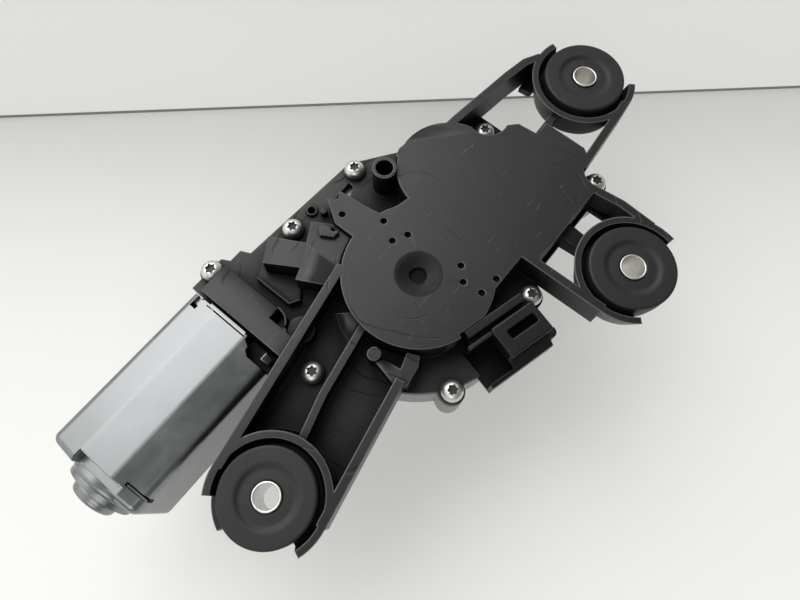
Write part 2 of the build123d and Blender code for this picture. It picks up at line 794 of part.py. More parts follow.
core_x = can_end_x + 12
with BuildPart() as armature_core:
    with BuildSketch(along_motor(core_x)):
        Circle(rotor_r)
        with PolarLocations(rotor_r - 3, slot_count):
            Circle(2.2, mode=Mode.SUBTRACT)
        with PolarLocations(rotor_r - 0.5, slot_count):
            Rectangle(4, 1.4, mode=Mode.SUBTRACT)
        Circle(armature_r + press_play, mode=Mode.SUBTRACT)
    extrude(amount=core_length)
save(armature_core, "armature_core")
with BuildPart() as windings:
    for start, way in ((core_x, -1), (core_x + core_length, 1)):
        with BuildSketch(along_motor(start)):
            Circle(rotor_r - 1.2)
            Circle(armature_r + 2, mode=Mode.SUBTRACT)
        extrude(amount=way * end_turns)
    fillet(windings.edges().group_by(Axis.X)[0], radius=2)
    fillet(windings.edges().group_by(Axis.X)[-1], radius=2)
save(windings, "windings")
commutator_x = core_x + core_length + end_turns + 1.5
with BuildPart() as commutator:
    with BuildSketch(along_motor(commutator_x)):
        Circle(commutator_r)
        with PolarLocations(commutator_r, slot_count):
            Rectangle(1.6, 0.6, mode=Mode.SUBTRACT)
        Circle(armature_r + press_play, mode=Mode.SUBTRACT)
    extrude(amount=commutator_length)
save(commutator, "commutator")

# ---- field magnets, two arc segments inside the can
magnet_x = core_x - 3
with BuildPart() as field_magnets:
    with BuildSketch(along_motor(magnet_x)):
        Circle(holder_r)
        Circle(rotor_r + air_gap, mode=Mode.SUBTRACT)
        Rectangle(can_w, magnet_gap, mode=Mode.SUBTRACT)
    extrude(amount=core_length + 6)
save(field_magnets, "field_magnets")

# ---- brush gear in the mouth of the can
brush_x = commutator_x + 2
with BuildPart() as brush_holder:
    with BuildSketch(along_motor(brush_x + brush_w + 0.5)):
        Circle(holder_r)
        Circle(commutator_r + 1.5, mode=Mode.SUBTRACT)
    extrude(amount=holder_t)
save(brush_holder, "brush_holder")
with BuildPart() as brushes:
    with BuildSketch(along_motor(brush_x)):
        with Locations((commutator_r + clear + brush_l / 2, 0), (-commutator_r - clear - brush_l / 2, 0)):
            Rectangle(brush_l, brush_h)
    extrude(amount=brush_w + 0.5)
save(brushes, "brushes")
with BuildPart() as brush_springs:
    with BuildSketch(along_motor(brush_x + 1)):
        for side in (1, -1):
            with Locations((side * (commutator_r + clear + brush_l + 0.3), 1)):
                Rectangle(0.6, brush_h + 6)
            with Locations((side * (commutator_r + clear + brush_l - 1.4), brush_h / 2 + 4)):
                Circle(2.2)
                Circle(1.6, mode=Mode.SUBTRACT)
    extrude(amount=brush_w - 0.5)
save(brush_springs, "brush_springs")

# ---- worm wheel on its axle
with BuildPart() as wheel_axle:
    with BuildSketch(Plane.XY.offset(housing_z)):
        with Locations((wheel_x, wheel_y)):
            Circle(axle_r)
    extrude(amount=wheel_hub_z - housing_z + clip_t + 2 * clear)
save(wheel_axle, "wheel_axle")
with BuildPart() as worm_wheel:
    with BuildSketch(Plane.XY.offset(wheel_z)):
        Circle(wheel_root_r)
        toothed(wheel_pitch_r, wheel_teeth, wheel_first_angle, wheel_teeth)
        Circle(wheel_root_r - rim_w, mode=Mode.SUBTRACT)
    extrude(amount=wheel_t)
    with BuildSketch(Plane.XY.offset(wheel_z + 2)):
        Circle(wheel_root_r - rim_w + 0.5)
    extrude(amount=web_t)
    with BuildSketch(Plane.XY.offset(floor_z + clear)):
        Circle(wheel_hub_r)
    extrude(amount=wheel_hub_z - floor_z - clear)
    with BuildSketch(Plane.XY.offset(wheel_z + 2)):
        with PolarLocations(crank_r, 1, start_angle=coupler_angle):
            Circle(pin_r + 1)
    extrude(amount=wheel_t - 2)
    for turn in range(60, 360, 60):
        wheel_rib = Plane(
            origin=(0, 0, wheel_z + 2),
            x_dir=(cos(radians(coupler_angle + turn)), sin(radians(coupler_angle + turn)), 0),
            z_dir=(0, 0, 1),
        )
        with BuildSketch(wheel_rib):
            with Locations(((wheel_hub_r + wheel_root_r - rim_w) / 2, 0)):
                Rectangle(wheel_root_r - rim_w - wheel_hub_r + 1, 1.6)
        extrude(amount=wheel_t - 4)
    with BuildSketch(Plane.XY.offset(floor_z)):
        Circle(axle_r + run_play)
    extrude(amount=wheel_t * 2, mode=Mode.SUBTRACT)
worm_wheel.part.position = (wheel_x, wheel_y, 0)
save(worm_wheel, "worm_wheel")
with BuildPart() as axle_clip:
    with BuildSketch(Plane.XY.offset(wheel_hub_z + clear)):
        with Locations((wheel_x, wheel_y)):
            Circle(axle_r + 1.2)
            Circle(axle_r + press_play, mode=Mode.SUBTRACT)
    extrude(amount=clip_t)
save(axle_clip, "axle_clip")

# ---- output shaft, its bearings and what rides on it
with BuildPart() as output_shaft:
    with BuildSketch(Plane.XZ):
        Polygon(
            (0, -thread_length),
            (thread_r, -thread_length),
            (thread_r, 0),
            (cone_r, 0),
            (output_r, cone_length),
            (output_r, shaft_step_z),
            (pinion_bore_r, shaft_step_z),
            (pinion_bore_r, link_z + link_t + clip_t + 1),
            (journal_r, link_z + link_t + clip_t + 1),
            (journal_r, journal_top_z),
            (0, journal_top_z),
            align=None,
        )
    revolve(axis=Axis.Z)
save(output_shaft, "output_shaft")
with BuildPart() as output_pinion:
    with BuildSketch(Plane.XY.offset(sector_z)):
        Circle(pinion_pitch_r - 1.2 * module)
        toothed(pinion_pitch_r, pinion_teeth, link_angle + 180 / pinion_teeth, pinion_teeth)
        Circle(pinion_bore_r + press_play, mode=Mode.SUBTRACT)
    extrude(amount=gear_t)
save(output_pinion, "output_pinion")
for name, low in (("lower_bush", tube_end_z + seal_l), ("upper_bush", sector_z - 1 - bush_length)):
    with BuildPart() as bush:
        with BuildSketch(Plane.XY.offset(low)):
            Circle(output_r + bush_wall)
            Circle(output_r + run_play, mode=Mode.SUBTRACT)
        extrude(amount=bush_length)
    save(bush, name)
with BuildPart() as shaft_seal:
    with BuildSketch(Plane.XY.offset(tube_end_z)):
        Circle(output_r + bush_wall)
        Circle(output_r + clear, mode=Mode.SUBTRACT)
    extrude(amount=seal_l)
save(shaft_seal, "shaft_seal")
with BuildPart() as thrust_washer:
    with BuildSketch(Plane.XY.offset(sector_z - 1)):
        Circle(output_r + 3)
        Circle(output_r + 0.1, mode=Mode.SUBTRACT)
    extrude(amount=0.7)
save(thrust_washer, "thrust_washer")
with BuildPart() as shaft_ring:
    with BuildSketch(Plane.XY.offset(tube_end_z - clear - clip_t)):
        Circle(output_r + 2.5)
        Circle(output_r + press_play, mode=Mode.SUBTRACT)
    extrude(amount=clip_t)
save(shaft_ring, "shaft_ring")
with BuildPart() as link_clip:
    with BuildSketch(Plane.XY.offset(link_z + link_t + 0.1)):
        Circle(pinion_bore_r + 2)
        Circle(pinion_bore_r + press_play, mode=Mode.SUBTRACT)
    extrude(amount=clip_t)
save(link_clip, "link_clip")

# ---- guide link and its pin
with BuildPart() as guide_link:
    with BuildSketch(Plane.XY.offset(link_z)):
        with BuildSketch(mode=Mode.PRIVATE) as eyes:
            Circle(link_eye_r)
            with PolarLocations(link_length, 1, start_angle=link_angle):
                Circle(pivot_eye_r)
        add(make_hull(eyes.sketch.edges()))
        Circle(pinion_bore_r + run_play, mode=Mode.SUBTRACT)
        with PolarLocations(link_length, 1, start_angle=link_angle):
            Circle(pin_r + press_play, mode=Mode.SUBTRACT)
    extrude(amount=link_t)
save(guide_link, "guide_link")
with BuildPart() as link_pin:
    with BuildSketch(Plane.XY.offset(sector_z)):
        with Locations((pivot_x, pivot_y)):
            Circle(pin_r)
    extrude(amount=link_z + link_t - sector_z)
save(link_pin, "link_pin")

# ---- toothed coupler between the crank and the output pinion
mesh_angle = link_angle + 180 - coupler_angle
step_angle = 360 / sector_teeth
with BuildPart() as sector_arm:
    with BuildSketch(Plane.XY.offset(sector_z)):
        with BuildSketch(mode=Mode.PRIVATE) as fan:
            Circle(sector_pitch_r - 1.2 * module)
            spread = [mesh_angle - 1.4 * step_angle, mesh_angle + 5.4 * step_angle]
            middle = sum(spread) / 2
            rim_points = [
                (2 * sector_pitch_r * cos(radians(turn)), 2 * sector_pitch_r * sin(radians(turn)))
                for turn in (spread[0], middle, spread[1])
            ]
            Polygon((0, 0), *rim_points, align=None, mode=Mode.INTERSECT)
        add(fan.sketch)
        toothed(sector_pitch_r, sector_teeth, mesh_angle - step_angle, 7)
        Circle(arm_hub_r)
        Polygon(
            (0, -arm_hub_r), (coupler_length, -crank_eye_r), (coupler_length, crank_eye_r), (0, arm_hub_r),
            align=None,
        )
        with Locations((coupler_length, 0)):
            Circle(crank_eye_r)
            Circle(pin_r + press_play, mode=Mode.SUBTRACT)
        Circle(pin_r + run_play, mode=Mode.SUBTRACT)
    extrude(amount=gear_t)
    # stiffening groove pressed along the arm
    with BuildSketch(Plane.XY.offset(sector_z + gear_t - groove_depth)):
        with Locations((coupler_length * 0.52, 0)):
            SlotOverall(coupler_length * 0.62, 4)
    extrude(amount=groove_depth, mode=Mode.SUBTRACT)
sector_arm.part.position = (pivot_x, pivot_y, 0)
sector_arm.part.orientation = (0, 0, coupler_angle)
save(sector_arm, "sector_arm")
with BuildPart() as crank_pin:
    with BuildSketch(Plane.XY.offset(wheel_z + wheel_t + clear)):
        with Locations((pivot_x, pivot_y)):
            with PolarLocations(coupler_length, 1, start_angle=coupler_angle):
                Circle(pin_r)
    extrude(amount=sector_z + gear_t - wheel_z - wheel_t - clear)
save(crank_pin, "crank_pin")

# ---- circuit board with its larger parts, under the square end of the roof
with BuildPart() as circuit_board:
    with BuildSketch(Plane.XY.offset(board_z)):
        Polygon(*board_corners, align=None)
    extrude(amount=board_t)
save(circuit_board, "circuit_board")
with BuildPart() as board_parts:
    with BuildSketch(Plane.XY.offset(board_z)):
        with Locations((60, -19)):
            Rectangle(14, 12)
        with Locations((74, -16)):
            Rectangle(8, 7)
    extrude(amount=-6)
    with BuildSketch(Plane.XY.offset(board_z)):
        with Locations((79, -9), (67, -8)):
            Circle(3.5)
    extrude(amount=-7)
save(board_parts, "board_parts")

# ---- connector: open shroud with a latch bridge over its inner half, and three blades
socket_z = plug_top_z - plug_height
plug_inner = plug_reach - plug_length
mouth_w = plug_width - 2 * plug_wall
mouth_z = socket_z + plug_wall
with BuildPart() as connector_socket:
    with BuildSketch(Plane.XY.offset(socket_z)):
        with Locations((plug_mid, 0)):
            Rectangle(plug_length, plug_width)
    extrude(amount=plug_height)
    fillet(connector_socket.edges().filter_by(Axis.X), radius=1.2)
    # raised latch bridge on its own roof
    with BuildSketch(Plane.XY.offset(plug_top_z - plug_wall)):
        with Locations(bridge_mid):
            RectangleRounded(bridge_length, bridge_width, 1.5)
    extrude(amount=bridge_top_z - plug_top_z + plug_wall)
    fillet(connector_socket.edges().group_by(Axis.Z)[-1], radius=0.6)
    # inner side wall and the ledge that rests on the cover's flange, with its ridge
    with BuildSketch(Plane.XY.offset(socket_z + 2)):
        with Locations((plug_mid, (plug_width - plug_wall) / 2)):
            Rectangle(plug_length - 1, plug_wall)
    extrude(amount=ridge_top_z - 2 - socket_z - 2)
    with BuildSketch(Plane.XY.offset(cover_base_z + flange_t)):
        with Locations((plug_mid + 1, plug_width / 2 + plug_ledge / 2 - 0.5)):
            Rectangle(plug_length - 3, plug_ledge + 0.6)
    extrude(amount=ledge_top_z - cover_base_z - flange_t)
    with BuildSketch(Plane.XY.offset(ledge_top_z - 1)):
        with Locations((plug_mid + 1, plug_width / 2 + plug_ledge - ridge_w / 2 - 0.2)):
            Rectangle(plug_length - 3, ridge_w)
    extrude(amount=ridge_top_z - ledge_top_z + 1)
    # mouth, open at the end, and its roof cut away as far as the bridge
    with BuildSketch(Plane.XY.offset(mouth_z)):
        with Locations((plug_inner + mouth_depth / 2, 0)):
            Rectangle(mouth_depth, mouth_w)
    extrude(amount=plug_height - 2 * plug_wall, mode=Mode.SUBTRACT)
    open_length = bridge_mid[0] - bridge_length / 2 - plug_inner
    with BuildSketch(Plane.XY.offset(mouth_z)):
        with Locations((plug_inner + open_length / 2, 0)):
            Rectangle(open_length, mouth_w)
    extrude(amount=bridge_top_z - mouth_z, mode=Mode.SUBTRACT)
    # latch window through the bridge
    with BuildSketch(Plane.XY.offset(plug_top_z - 2 * plug_wall)):
        with Locations((bridge_mid[0] + 1, bridge_mid[1] + 0.8)):
            RectangleRounded(*bridge_window, 1)
    extrude(amount=bridge_top_z - plug_top_z + 2 * plug_wall, mode=Mode.SUBTRACT)
connector_socket.part.position = (plug_x, plug_y, 0)
connector_socket.part.orientation = (0, 0, plug_turn)
save(connector_socket, "connector_socket")
with BuildPart() as connector_pins:
    with BuildSketch(Plane(origin=(plug_inner + mouth_depth, 0, mouth_z + blade_t + 2),
                           x_dir=(0, 1, 0), z_dir=(-1, 0, 0))):
        with GridLocations(4.2, 1, 3, 1):
            Rectangle(blade_w, blade_t)
    extrude(amount=blade_length)
connector_pins.part.position = (plug_x, plug_y, 0)
connector_pins.part.orientation = (0, 0, plug_turn)
save(connector_pins, "connector_pins")
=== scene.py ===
import json
import math

import bmesh
import bpy
from mathutils import Matrix, Vector


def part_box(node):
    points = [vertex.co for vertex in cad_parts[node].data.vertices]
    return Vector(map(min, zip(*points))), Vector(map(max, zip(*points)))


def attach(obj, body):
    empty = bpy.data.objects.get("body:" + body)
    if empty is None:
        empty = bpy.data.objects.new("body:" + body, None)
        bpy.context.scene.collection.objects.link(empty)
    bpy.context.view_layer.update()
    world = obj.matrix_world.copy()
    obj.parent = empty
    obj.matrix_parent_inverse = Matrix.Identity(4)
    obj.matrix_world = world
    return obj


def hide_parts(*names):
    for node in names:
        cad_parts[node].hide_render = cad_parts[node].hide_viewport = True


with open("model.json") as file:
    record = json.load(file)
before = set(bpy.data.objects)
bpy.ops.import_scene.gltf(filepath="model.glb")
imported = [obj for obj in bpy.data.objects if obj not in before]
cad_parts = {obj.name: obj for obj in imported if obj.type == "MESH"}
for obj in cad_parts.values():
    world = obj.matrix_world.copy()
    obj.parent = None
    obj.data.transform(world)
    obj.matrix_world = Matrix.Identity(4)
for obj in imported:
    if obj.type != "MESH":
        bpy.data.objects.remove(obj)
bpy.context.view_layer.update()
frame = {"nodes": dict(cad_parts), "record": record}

# Rear-window wiper motor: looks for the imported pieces. Metres, +Z up from the thread to the cover.
MM = 0.001
nodes = frame["nodes"]

# ---- colours and materials


def linear(hex_code):
    """sRGB hex colour as linear RGBA."""
    parts = [int(hex_code[i:i + 2], 16) / 255 for i in (1, 3, 5)]
    return [c / 12.92 if c <= 0.04045 else ((c + 0.055) / 1.055) ** 2.4 for c in parts] + [1.0]


def add_node(tree, kind, settings=None, links=None):
    """Add one node; settings are sockets or properties by name, links are input socket to output socket."""
    node = tree.nodes.new(kind)
    for key, value in (settings or {}).items():
        if isinstance(key, int) or key in node.inputs:
            node.inputs[key].default_value = value
        else:
            setattr(node, key, value)
    for key, source in (links or {}).items():
        tree.links.new(source, node.inputs[key])
    return node


def new_material(name):
    """Empty node material with its tree, shader and object coordinates."""
    material = bpy.data.materials.new(name)
    material.use_nodes = True
    tree = material.node_tree
    shader = tree.nodes["Principled BSDF"]
    place = tree.nodes.new("ShaderNodeTexCoord").outputs["Object"]
    return material, tree, shader, place


def mottled(name, dark, light, patch_mm, grain_mm, grain_depth_mm, rough, metallic=0.0, edge_mm=0.0):
    """Material whose colour and roughness drift in soft patches, with a fine surface grain and soft edges."""
    # the part of the noise's range that the roughness follows
    noise_low, noise_high = 0.3, 0.7
    material, tree, shader, place = new_material(name)
    patches = add_node(tree, "ShaderNodeTexNoise",
                       {"Scale": 1000 / patch_mm, "Detail": 4.0, "Roughness": 0.6}, {"Vector": place})
    tint = add_node(tree, "ShaderNodeMix", {"data_type": "RGBA", 6: linear(dark), 7: linear(light)},
                    {"Factor": patches.outputs["Fac"]})
    tree.links.new(tint.outputs[2], shader.inputs["Base Color"])
    wear = add_node(
        tree, "ShaderNodeMapRange",
        {"To Min": rough[0], "To Max": rough[1], "From Min": noise_low, "From Max": noise_high},
        {"Value": patches.outputs["Fac"]},
    )
    tree.links.new(wear.outputs["Result"], shader.inputs["Roughness"])
    # a real grain is some 0.05 mm; it is drawn about ten times as coarse, or it would not show
    grain = add_node(tree, "ShaderNodeTexNoise", {"Scale": 1000 / grain_mm, "Detail": 3.0}, {"Vector": place})
    bump = add_node(tree, "ShaderNodeBump", {"Strength": 1.0, "Distance": grain_depth_mm * MM},
                    {"Height": grain.outputs["Fac"]})
    if edge_mm:
        soft_edge = add_node(tree, "ShaderNodeBevel", {"Radius": edge_mm * MM, "samples": 6})
        tree.links.new(soft_edge.outputs["Normal"], bump.inputs["Normal"])
    tree.links.new(bump.outputs["Normal"], shader.inputs["Normal"])
    shader.inputs["Metallic"].default_value = metallic
    return material


def painted_pocket_shade(material, skin_and_shade=None):
    """Paint shade into pockets found by ambient occlusion, and where the extra mask covers: their colour is
    drawn towards near black as painted shade, and they get a matt skin.
    """
    shelter_mm, open_share, closed_share, pocket_shade_strength = 22, 0.9, 0.45, 0.9
    skin_rough, face_specular, skin_specular = 0.6, 0.4, 0.12
    tree = material.node_tree
    shader = tree.nodes["Principled BSDF"]
    tint = shader.inputs["Base Color"].links[0].from_socket
    shine = shader.inputs["Roughness"].links[0].from_socket
    # ambient occlusion finds the pockets, where shade is painted into the colour
    shelter = add_node(tree, "ShaderNodeAmbientOcclusion", {"Distance": shelter_mm * MM, "samples": 8})
    pocket_shade = add_node(
        tree, "ShaderNodeMapRange",
        {"From Min": open_share, "From Max": closed_share, "To Max": pocket_shade_strength},
        {"Value": shelter.outputs["AO"]},
    )
    painted_shade = pocket_shade.outputs["Result"]
    if skin_and_shade:
        painted_shade = add_node(tree, "ShaderNodeMath", {"operation": "MAXIMUM"}, {0: painted_shade, 1: skin_and_shade}).outputs["Value"]
    # the colour is drawn towards near black by the mask: painted shade in the pockets, the dimple and its
    # core
    dark = add_node(tree, "ShaderNodeMix", {"data_type": "RGBA", 7: linear("#070708")},
                    {"Factor": painted_shade, 6: tint})
    tree.links.new(dark.outputs[2], shader.inputs["Base Color"])
    rough = add_node(tree, "ShaderNodeMix", {3: skin_rough}, {"Factor": painted_shade, 2: shine})
    tree.links.new(rough.outputs[0], shader.inputs["Roughness"])
    glance = add_node(tree, "ShaderNodeMapRange", {"To Min": face_specular, "To Max": skin_specular},
                      {"Value": painted_shade})
    tree.links.new(glance.outputs["Result"], shader.inputs["Specular IOR Level"])


def moulded_cover():
    """Glass-filled polyester off the tool: painted shade in its pockets and dimple, flow lines, edges painted
    paler as a highlight, and scuffs.
    """
    # the eye gets a black with a wide soft sheen on its faces, and grey along its edges, where a highlight is
    # painted
    material = mottled("moulded_glass_filled_pbt", "#121315", "#1b1c1e", 30, 0.7, 0.01, (0.3, 0.4), 0.0, 0.9)
    tree = material.node_tree
    shader = tree.nodes["Principled BSDF"]
    place = tree.nodes["Texture Coordinate"].outputs["Object"]
    tint = shader.inputs["Base Color"].links[0].from_socket
    bump = shader.inputs["Normal"].links[0].from_node
    # edges, where the rounded normal leaves the face's own, are painted paler as a highlight
    flat_facing, edge_facing, edge_highlight_share = 0.99, 0.85, 0.8
    face = tree.nodes.new("ShaderNodeNewGeometry").outputs["Normal"]
    soft_edge = tree.nodes["Bevel"].outputs["Normal"]
    facing = add_node(tree, "ShaderNodeVectorMath", {"operation": "DOT_PRODUCT"}, {0: face, 1: soft_edge})
    painted_edge_highlight = add_node(tree, "ShaderNodeMapRange",
                      {"From Min": flat_facing, "From Max": edge_facing, "To Max": edge_highlight_share},
                      {"Value": facing.outputs["Value"]})
    # scuffs up to 9 mm long and 0.5 mm wide, drawn wider than real hairlines so that they show
    scuff_mm, scuff_turn, scuff_stretch = 9, 0.7, (1, 16, 4)
    scuff_from, scuff_full, scuff_strength = 0.68, 0.76, 0.3
    stretch = add_node(tree, "ShaderNodeMapping", {"Rotation": (0, 0, scuff_turn), "Scale": scuff_stretch},
                       {"Vector": place})
    streak = add_node(tree, "ShaderNodeTexNoise", {"Scale": 1000 / scuff_mm, "Detail": 2.0},
                      {"Vector": stretch.outputs[0]})
    scuff = add_node(tree, "ShaderNodeMapRange",
                     {"From Min": scuff_from, "From Max": scuff_full, "To Max": scuff_strength},
                     {"Value": streak.outputs["Fac"]})
    highlight_and_scuff = add_node(tree, "ShaderNodeMath", {"operation": "MAXIMUM"},
                    {0: painted_edge_highlight.outputs["Result"], 1: scuff.outputs["Result"]})
    # the pale grey is a painted highlight on the edges and the real colour of the scuffs
    highlit_and_scuffed = add_node(tree, "ShaderNodeMix", {"data_type": "RGBA", 7: linear("#7c7d7f")},
                      {"Factor": highlight_and_scuff.outputs["Value"], 6: tint})
    # the dimple over the shaft gets a matt skin with painted shade in its colour, and its core is darkest, as
    # painted shade of the hole
    dimple_r, core_r, fade, dimple_share, core_share = 10.0, 3.7, 0.2, 0.6, 0.4
    flat = add_node(tree, "ShaderNodeVectorMath", {"operation": "MULTIPLY", 1: (1, 1, 0)}, {0: place})
    off_axis = add_node(tree, "ShaderNodeVectorMath", {"operation": "LENGTH"}, {0: flat.outputs[0]})
    dimple, core = (
        add_node(tree, "ShaderNodeMapRange",
                 {"From Min": radius * MM, "From Max": (radius - fade) * MM, "To Max": share},
                 {"Value": off_axis.outputs["Value"]})
        for radius, share in ((dimple_r, dimple_share), (core_r, core_share))
    )
    skin_and_shade = add_node(tree, "ShaderNodeMath", {"operation": "ADD"},
                    {0: dimple.outputs["Result"], 1: core.outputs["Result"]})
    tree.links.new(highlit_and_scuffed.outputs[2], shader.inputs["Base Color"])
    painted_pocket_shade(material, skin_and_shade.outputs["Value"])
    # flow lines that wander round the gate over the shaft, strong in some patches only
    flow_mm, flow_wander, line_share, line_depth_mm = 28, 8.0, 0.02, 0.25
    region_mm, region_from, region_full = 45, 0.52, 0.62
    flow = add_node(tree, "ShaderNodeTexWave", {
        "wave_type": "RINGS", "rings_direction": "Z", "Scale": 1000 / flow_mm, "Distortion": flow_wander,
        "Detail": 2.0, "Detail Scale": 0.9,
    }, {"Vector": place})
    line = add_node(tree, "ShaderNodeMapRange", {"From Min": line_share, "From Max": 0.0},
                    {"Value": flow.outputs["Fac"]})
    region = add_node(tree, "ShaderNodeTexNoise", {"Scale": 1000 / region_mm, "Detail": 1.0},
                      {"Vector": place})
    strong = add_node(tree, "ShaderNodeMapRange", {"From Min": region_from, "From Max": region_full},
                      {"Value": region.outputs["Fac"]})
    drift = add_node(tree, "ShaderNodeMath", {"operation": "MULTIPLY"},
                     {0: line.outputs["Result"], 1: strong.outputs["Result"]})
    sunk = add_node(tree, "ShaderNodeBump", {"Strength": 1.0, "Distance": line_depth_mm * MM, "invert": True},
                    {"Height": drift.outputs["Value"]})
    tree.links.new(soft_edge, sunk.inputs["Normal"])
    tree.links.new(sunk.outputs["Normal"], bump.inputs["Normal"])
    return material


# each entry: name, darker and lighter colour, patch size, grain size and grain depth in millimetres,
# roughness range, metallic, radius of its softened edges in millimetres
finish = {
    # dull silver grey with a broad sheen that drifts with the skin of the die
    "housing_aluminium": mottled(
        "die_cast_aluminium", "#8f9193", "#a9abad", 9, 0.9, 0.02, (0.42, 0.6), 1.0, 0.6),
    "cover_plastic": moulded_cover(),
    # matt black with no clear highlight
    "gasket_rubber": mottled("moulded_nitrile", "#131314", "#1a1a1b", 10, 0.8, 0.01, (0.6, 0.75)),
    # near black, with a tight satin highlight along its ridges
    "connector_plastic": mottled(
        "moulded_pbt_satin", "#0b0c0d", "#111213", 20, 0.9, 0.02, (0.16, 0.26), 0.0, 0.8),
    # pale grey gold, softly bright
    "contact_brass": mottled("tinned_brass", "#b9b2a0", "#cfc9b8", 3, 0.5, 0.004, (0.25, 0.4), 1.0),
    # dark green with a waxy sheen
    "board_laminate": mottled("glass_epoxy_board", "#12401f", "#1a5229", 12, 0.6, 0.005, (0.35, 0.5)),
    # flat dark grey
    "component_case": mottled("moulded_component_case", "#161616", "#202020", 6, 0.5, 0.006, (0.4, 0.55)),
    # cool grey metal in long soft bands, bright where it faces the light
    "can_steel": mottled("zinc_plated_drawn_steel", "#787b7c", "#929596", 12, 0.8, 0.002, (0.26, 0.38), 1.0),
    # charcoal, dull and slightly gritty
    "magnet_ferrite": mottled("sintered_ferrite", "#232325", "#2e2e30", 5, 0.6, 0.02, (0.55, 0.7)),
    # dark brown, half matt
    "holder_plastic": mottled("moulded_phenolic", "#2c2018", "#3a2b20", 8, 0.7, 0.01, (0.45, 0.6)),
    # black with the faint sheen of a pencil line
    "brush_carbon": mottled("pressed_carbon", "#19191a", "#252526", 3, 0.5, 0.01, (0.5, 0.65)),
    # dark blue grey with a narrow highlight
    "spring_steel": mottled("blued_spring_steel", "#5b5c60", "#74757a", 4, 0.5, 0.003, (0.3, 0.42), 1.0),
    # muted warm brown metal with an open, grainy skin
    "bush_bronze": mottled("sintered_bronze", "#8a6738", "#a07c48", 3, 0.5, 0.015, (0.4, 0.55), 1.0),
    # clean light grey metal with a fairly sharp highlight
    "shaft_steel": mottled("ground_steel", "#9a9c9e", "#b0b2b4", 7, 0.5, 0.003, (0.22, 0.34), 1.0),
    # dark grey metal, nearly without shine
    "clip_steel": mottled("phosphated_steel", "#38393b", "#48494c", 4, 0.5, 0.006, (0.45, 0.6), 1.0),
    # near white metal with a bright rim
    "screw_steel": mottled(
        "bright_zinc_plated_steel", "#cbcac6", "#d8d7d3", 8, 0.6, 0.0004, (0.34, 0.44), 1.0),
    # soft black, its rounded edges catching a wide faint light
    "grommet_rubber": mottled(
        "moulded_epdm_rubber", "#0d0d0f", "#141416", 16, 0.8, 0.012, (0.5, 0.62), 0.0, 0.3),
    # white bright metal, broken up by small ripples
    "sleeve_steel": mottled("zinc_plated_tube", "#d4d3cf", "#e6e5e1", 4, 0.6, 0.01, (0.24, 0.4), 1.0, 0.25),
    # smooth grey metal, its highlights running along the helix
    "worm_steel": mottled("rolled_steel_thread", "#8c8e91", "#a2a4a7", 5, 0.5, 0.004, (0.25, 0.38), 1.0),
    # dark dull metal
    "core_steel": mottled("laminated_core_steel", "#4b4c50", "#5f6064", 4, 0.7, 0.02, (0.4, 0.55), 1.0),
    # red brown with a varnished sheen, the wires no more than a grain
    "winding_copper": mottled("enamelled_copper_wire", "#8a3d1c", "#a9552c", 2, 0.5, 0.05, (0.25, 0.4), 1.0),
    # pink orange metal, satin
    "commutator_copper": mottled("turned_copper", "#a4623f", "#bb7850", 4, 0.5, 0.005, (0.28, 0.42), 1.0),
    # milky off-white, half matt
    "gear_nylon": mottled("cut_natural_nylon", "#cfcab8", "#ddd9c9", 10, 0.7, 0.006, (0.38, 0.5)),
    # dull mid-grey metal, grainy
    "gear_steel": mottled("sintered_gear_steel", "#66686b", "#7b7d80", 4, 0.6, 0.012, (0.38, 0.52), 1.0),
    # plain grey metal, satin
    "link_steel": mottled("pressed_sheet_steel", "#88898c", "#9c9da0", 8, 0.6, 0.006, (0.32, 0.46), 1.0),
}
# the connector's pockets and mouth get painted shade as well
painted_pocket_shade(finish["connector_plastic"])
slot_of = {part["node"]: part["material_slot"] for part in frame["record"]["subparts"]}
for node, slot in slot_of.items():
    mesh = nodes[node].data
    mesh.materials.clear()
    mesh.materials.append(finish[slot])

# ---- modelling helpers, lengths in millimetres
# corners closer than the weld are merged, and one within a hair of the top counts as on it; both in metres
weld, hair = 0.002 * MM, 1e-6
# neighbours that turn less than flat_turn are one face, and edges under the crease are shaded smooth
flat_turn, crease = math.radians(0.3), math.radians(34)


def pick(piece):
    """Make one piece the only selected and active one."""
    bpy.ops.object.select_all(action="DESELECT")
    piece.select_set(True)
    bpy.context.view_layer.objects.active = piece


def choose(piece, kind, test):
    """In edit mode, select the corners, edges or faces that pass the test and nothing else."""
    bpy.ops.mesh.select_mode(type=kind)
    bpy.ops.mesh.select_all(action="DESELECT")
    form = bmesh.from_edit_mesh(piece.data)
    for item in {"VERT": form.verts, "EDGE": form.edges, "FACE": form.faces}[kind]:
        if test(item):
            item.select_set(True)
    form.select_flush_mode()
    bmesh.update_edit_mesh(piece.data)


def drawn(name, corners, closed=True):
    """Line drawn from corner to corner by extruding one point, left in edit mode."""
    bpy.ops.object.select_all(action="DESELECT")
    bpy.ops.mesh.primitive_plane_add(size=MM)
    piece = bpy.context.object
    piece.name = name
    bpy.ops.object.mode_set(mode="EDIT")
    bpy.ops.mesh.select_mode(type="VERT")
    bpy.ops.mesh.select_all(action="SELECT")
    bpy.ops.mesh.merge(type="CENTER")
    last = Vector((0, 0, 0))
    for index, corner in enumerate(corners):
        step = (Vector(corner) - last) * MM
        if index:
            bpy.ops.mesh.extrude_vertices_move(TRANSFORM_OT_translate={"value": step})
        else:
            bpy.ops.transform.translate(value=step)
        last = Vector(corner)
    if closed:
        bpy.ops.mesh.select_all(action="SELECT")
        bpy.ops.mesh.edge_face_add()
    return piece


